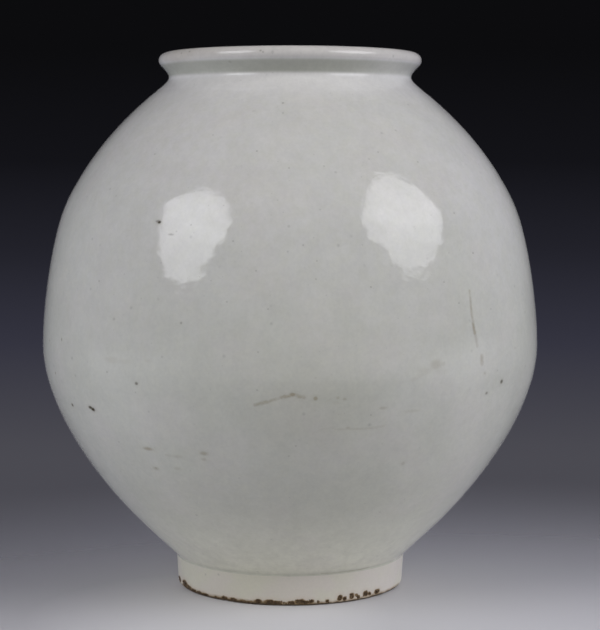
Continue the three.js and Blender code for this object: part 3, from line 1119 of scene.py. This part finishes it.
def surroundings():
    """A dark backdrop behind the jar, and the room's light from each side."""
    world = bpy.data.worlds.new("studio")
    world.use_nodes = True
    nodes = Nodes(world.node_tree)
    way = nodes.add("TexCoord").outputs["Generated"]
    light = Vector((0, 0, 0))
    for side, tone in ROOM_LIGHT:
        facing = nodes.math("MAXIMUM", nodes.vector("DOT_PRODUCT", way, side, output="Value"), 0.0)
        light = nodes.vector("MULTIPLY_ADD", nodes.math("MULTIPLY", facing, facing), tone, light)
    parts = nodes.add("SeparateXYZ", Vector=way).outputs
    backdrop = nodes.add("ValToRGB", Fac=nodes.math("MULTIPLY_ADD", parts["Z"], 0.5, 0.5))
    stops = backdrop.color_ramp.elements
    for index, (height, tone) in enumerate(BACKDROP):
        stop = stops[index] if index < STOPS_OF_A_NEW_RAMP else stops.new(1.0)
        stop.position = (height + 1) / 2
        stop.color = tone
    rays = nodes.add("LightPath").outputs
    seen = nodes.math("MAXIMUM", rays["Is Camera Ray"], rays["Is Glossy Ray"])
    aside = nodes.math("MULTIPLY", parts["X"], parts["X"])
    low = nodes.math("MULTIPLY", nodes.ramp(parts["Z"], *TABLE_DROP), nodes.ramp(parts["Y"], *TABLE_ROUND))
    mirrored = nodes.math("MULTIPLY", nodes.math("MULTIPLY", aside, low), rays["Is Glossy Ray"])
    around = nodes.vector("MULTIPLY_ADD", mirrored, TABLE_GLOW, backdrop.outputs["Color"])
    shown = nodes.blend(light, around, seen)
    nodes.feed(world.node_tree.nodes["Background"].inputs["Color"], shown)
    bpy.context.scene.world = world


def softbox(name, surface, place, aim, power, pixels):
    """A square lamp behind a cloth, brightest in the middle, whose corners the jar mirrors at some pixels."""
    turn = (aim - place).to_track_quat("-Z", "Y")
    corners = [on_cloth(surface, pixel, place, turn) for pixel in pixels]
    data = bpy.data.lights.new(name, "AREA")
    data.shape = "SQUARE"
    data.size = SOFTBOX_SIDE
    data.energy = power
    data.color = LAMP_WHITE
    piece = bpy.data.objects.new(name, data)
    piece.location = place
    piece.rotation_euler = turn.to_euler()
    bpy.context.scene.collection.objects.link(piece)
    data.use_nodes = True
    nodes = Nodes(data.node_tree)
    shares = nodes.add("NewGeometry").outputs["Parametric"]
    side = Vector((SOFTBOX_SIDE, SOFTBOX_SIDE, 0))
    spot = nodes.vector("MULTIPLY_ADD", shares, side, -side / 2)
    outside = -SOFTBOX_SIDE
    for start, end in zip(corners, corners[1:] + corners[:1]):
        edge = end - start
        away = Vector((edge.y, -edge.x, 0)).normalized()
        along = nodes.vector("DOT_PRODUCT", spot, away, output="Value")
        past = nodes.math("SUBTRACT", along, away.dot(start))
        outside = nodes.math("MAXIMUM", outside, past)
    lit = nodes.ramp(outside, -SOFT_EDGE, SOFT_EDGE, 1.0, 0.0)
    reach = nodes.vector("LENGTH", spot, output="Value")
    glow = nodes.ramp(reach, 0.0, CLOTH_REACH, CLOTH_MIDDLE, CLOTH_EDGE)
    fold = nodes.add("TexNoise", Vector=spot, Scale=1 / CLOTH_FOLD, Detail=CLOTH_FOLD_DETAIL).outputs["Fac"]
    cloth = nodes.math("MULTIPLY", glow, nodes.ramp(fold, *NOISE_SPAN, *CLOTH_FOLD_SHADE))
    nodes.feed(data.node_tree.nodes["Emission"].inputs["Strength"], nodes.math("MULTIPLY", lit, cloth))


# The jar

make_camera()
glazed = {node: turned(name, node, step, BODY_SIDES) for name, (node, step) in GLAZED_PIECES.items()}
foot_ring = turned("foot_ring_fired", "foot_ring", FINE_STEP, FOOT_SIDES, foot_wear)
foot_surface = surface_of([foot_ring])
jar_surface = surface_of([glazed[node] for node in MARKED_NODES])
stains = foot_stains(foot_surface)
grit = kiln_grit(foot_surface, stains)

glaze = glaze_material(jar_surface)
for node, piece in glazed.items():
    dress(piece, glaze, "glaze", node)
dress(foot_ring, foot_material(foot_surface, stains), "foot_glaze", "foot_ring")
dress(grit, grit_material())

floor()
surroundings()
softbox("left_softbox", jar_surface, LEFT_LAMP, LEFT_AIM, LEFT_POWER, LEFT_CORNERS)
softbox("right_softbox", jar_surface, RIGHT_LAMP, RIGHT_AIM, RIGHT_POWER, RIGHT_CORNERS)
bpy.context.scene.view_settings.view_transform = "Standard"
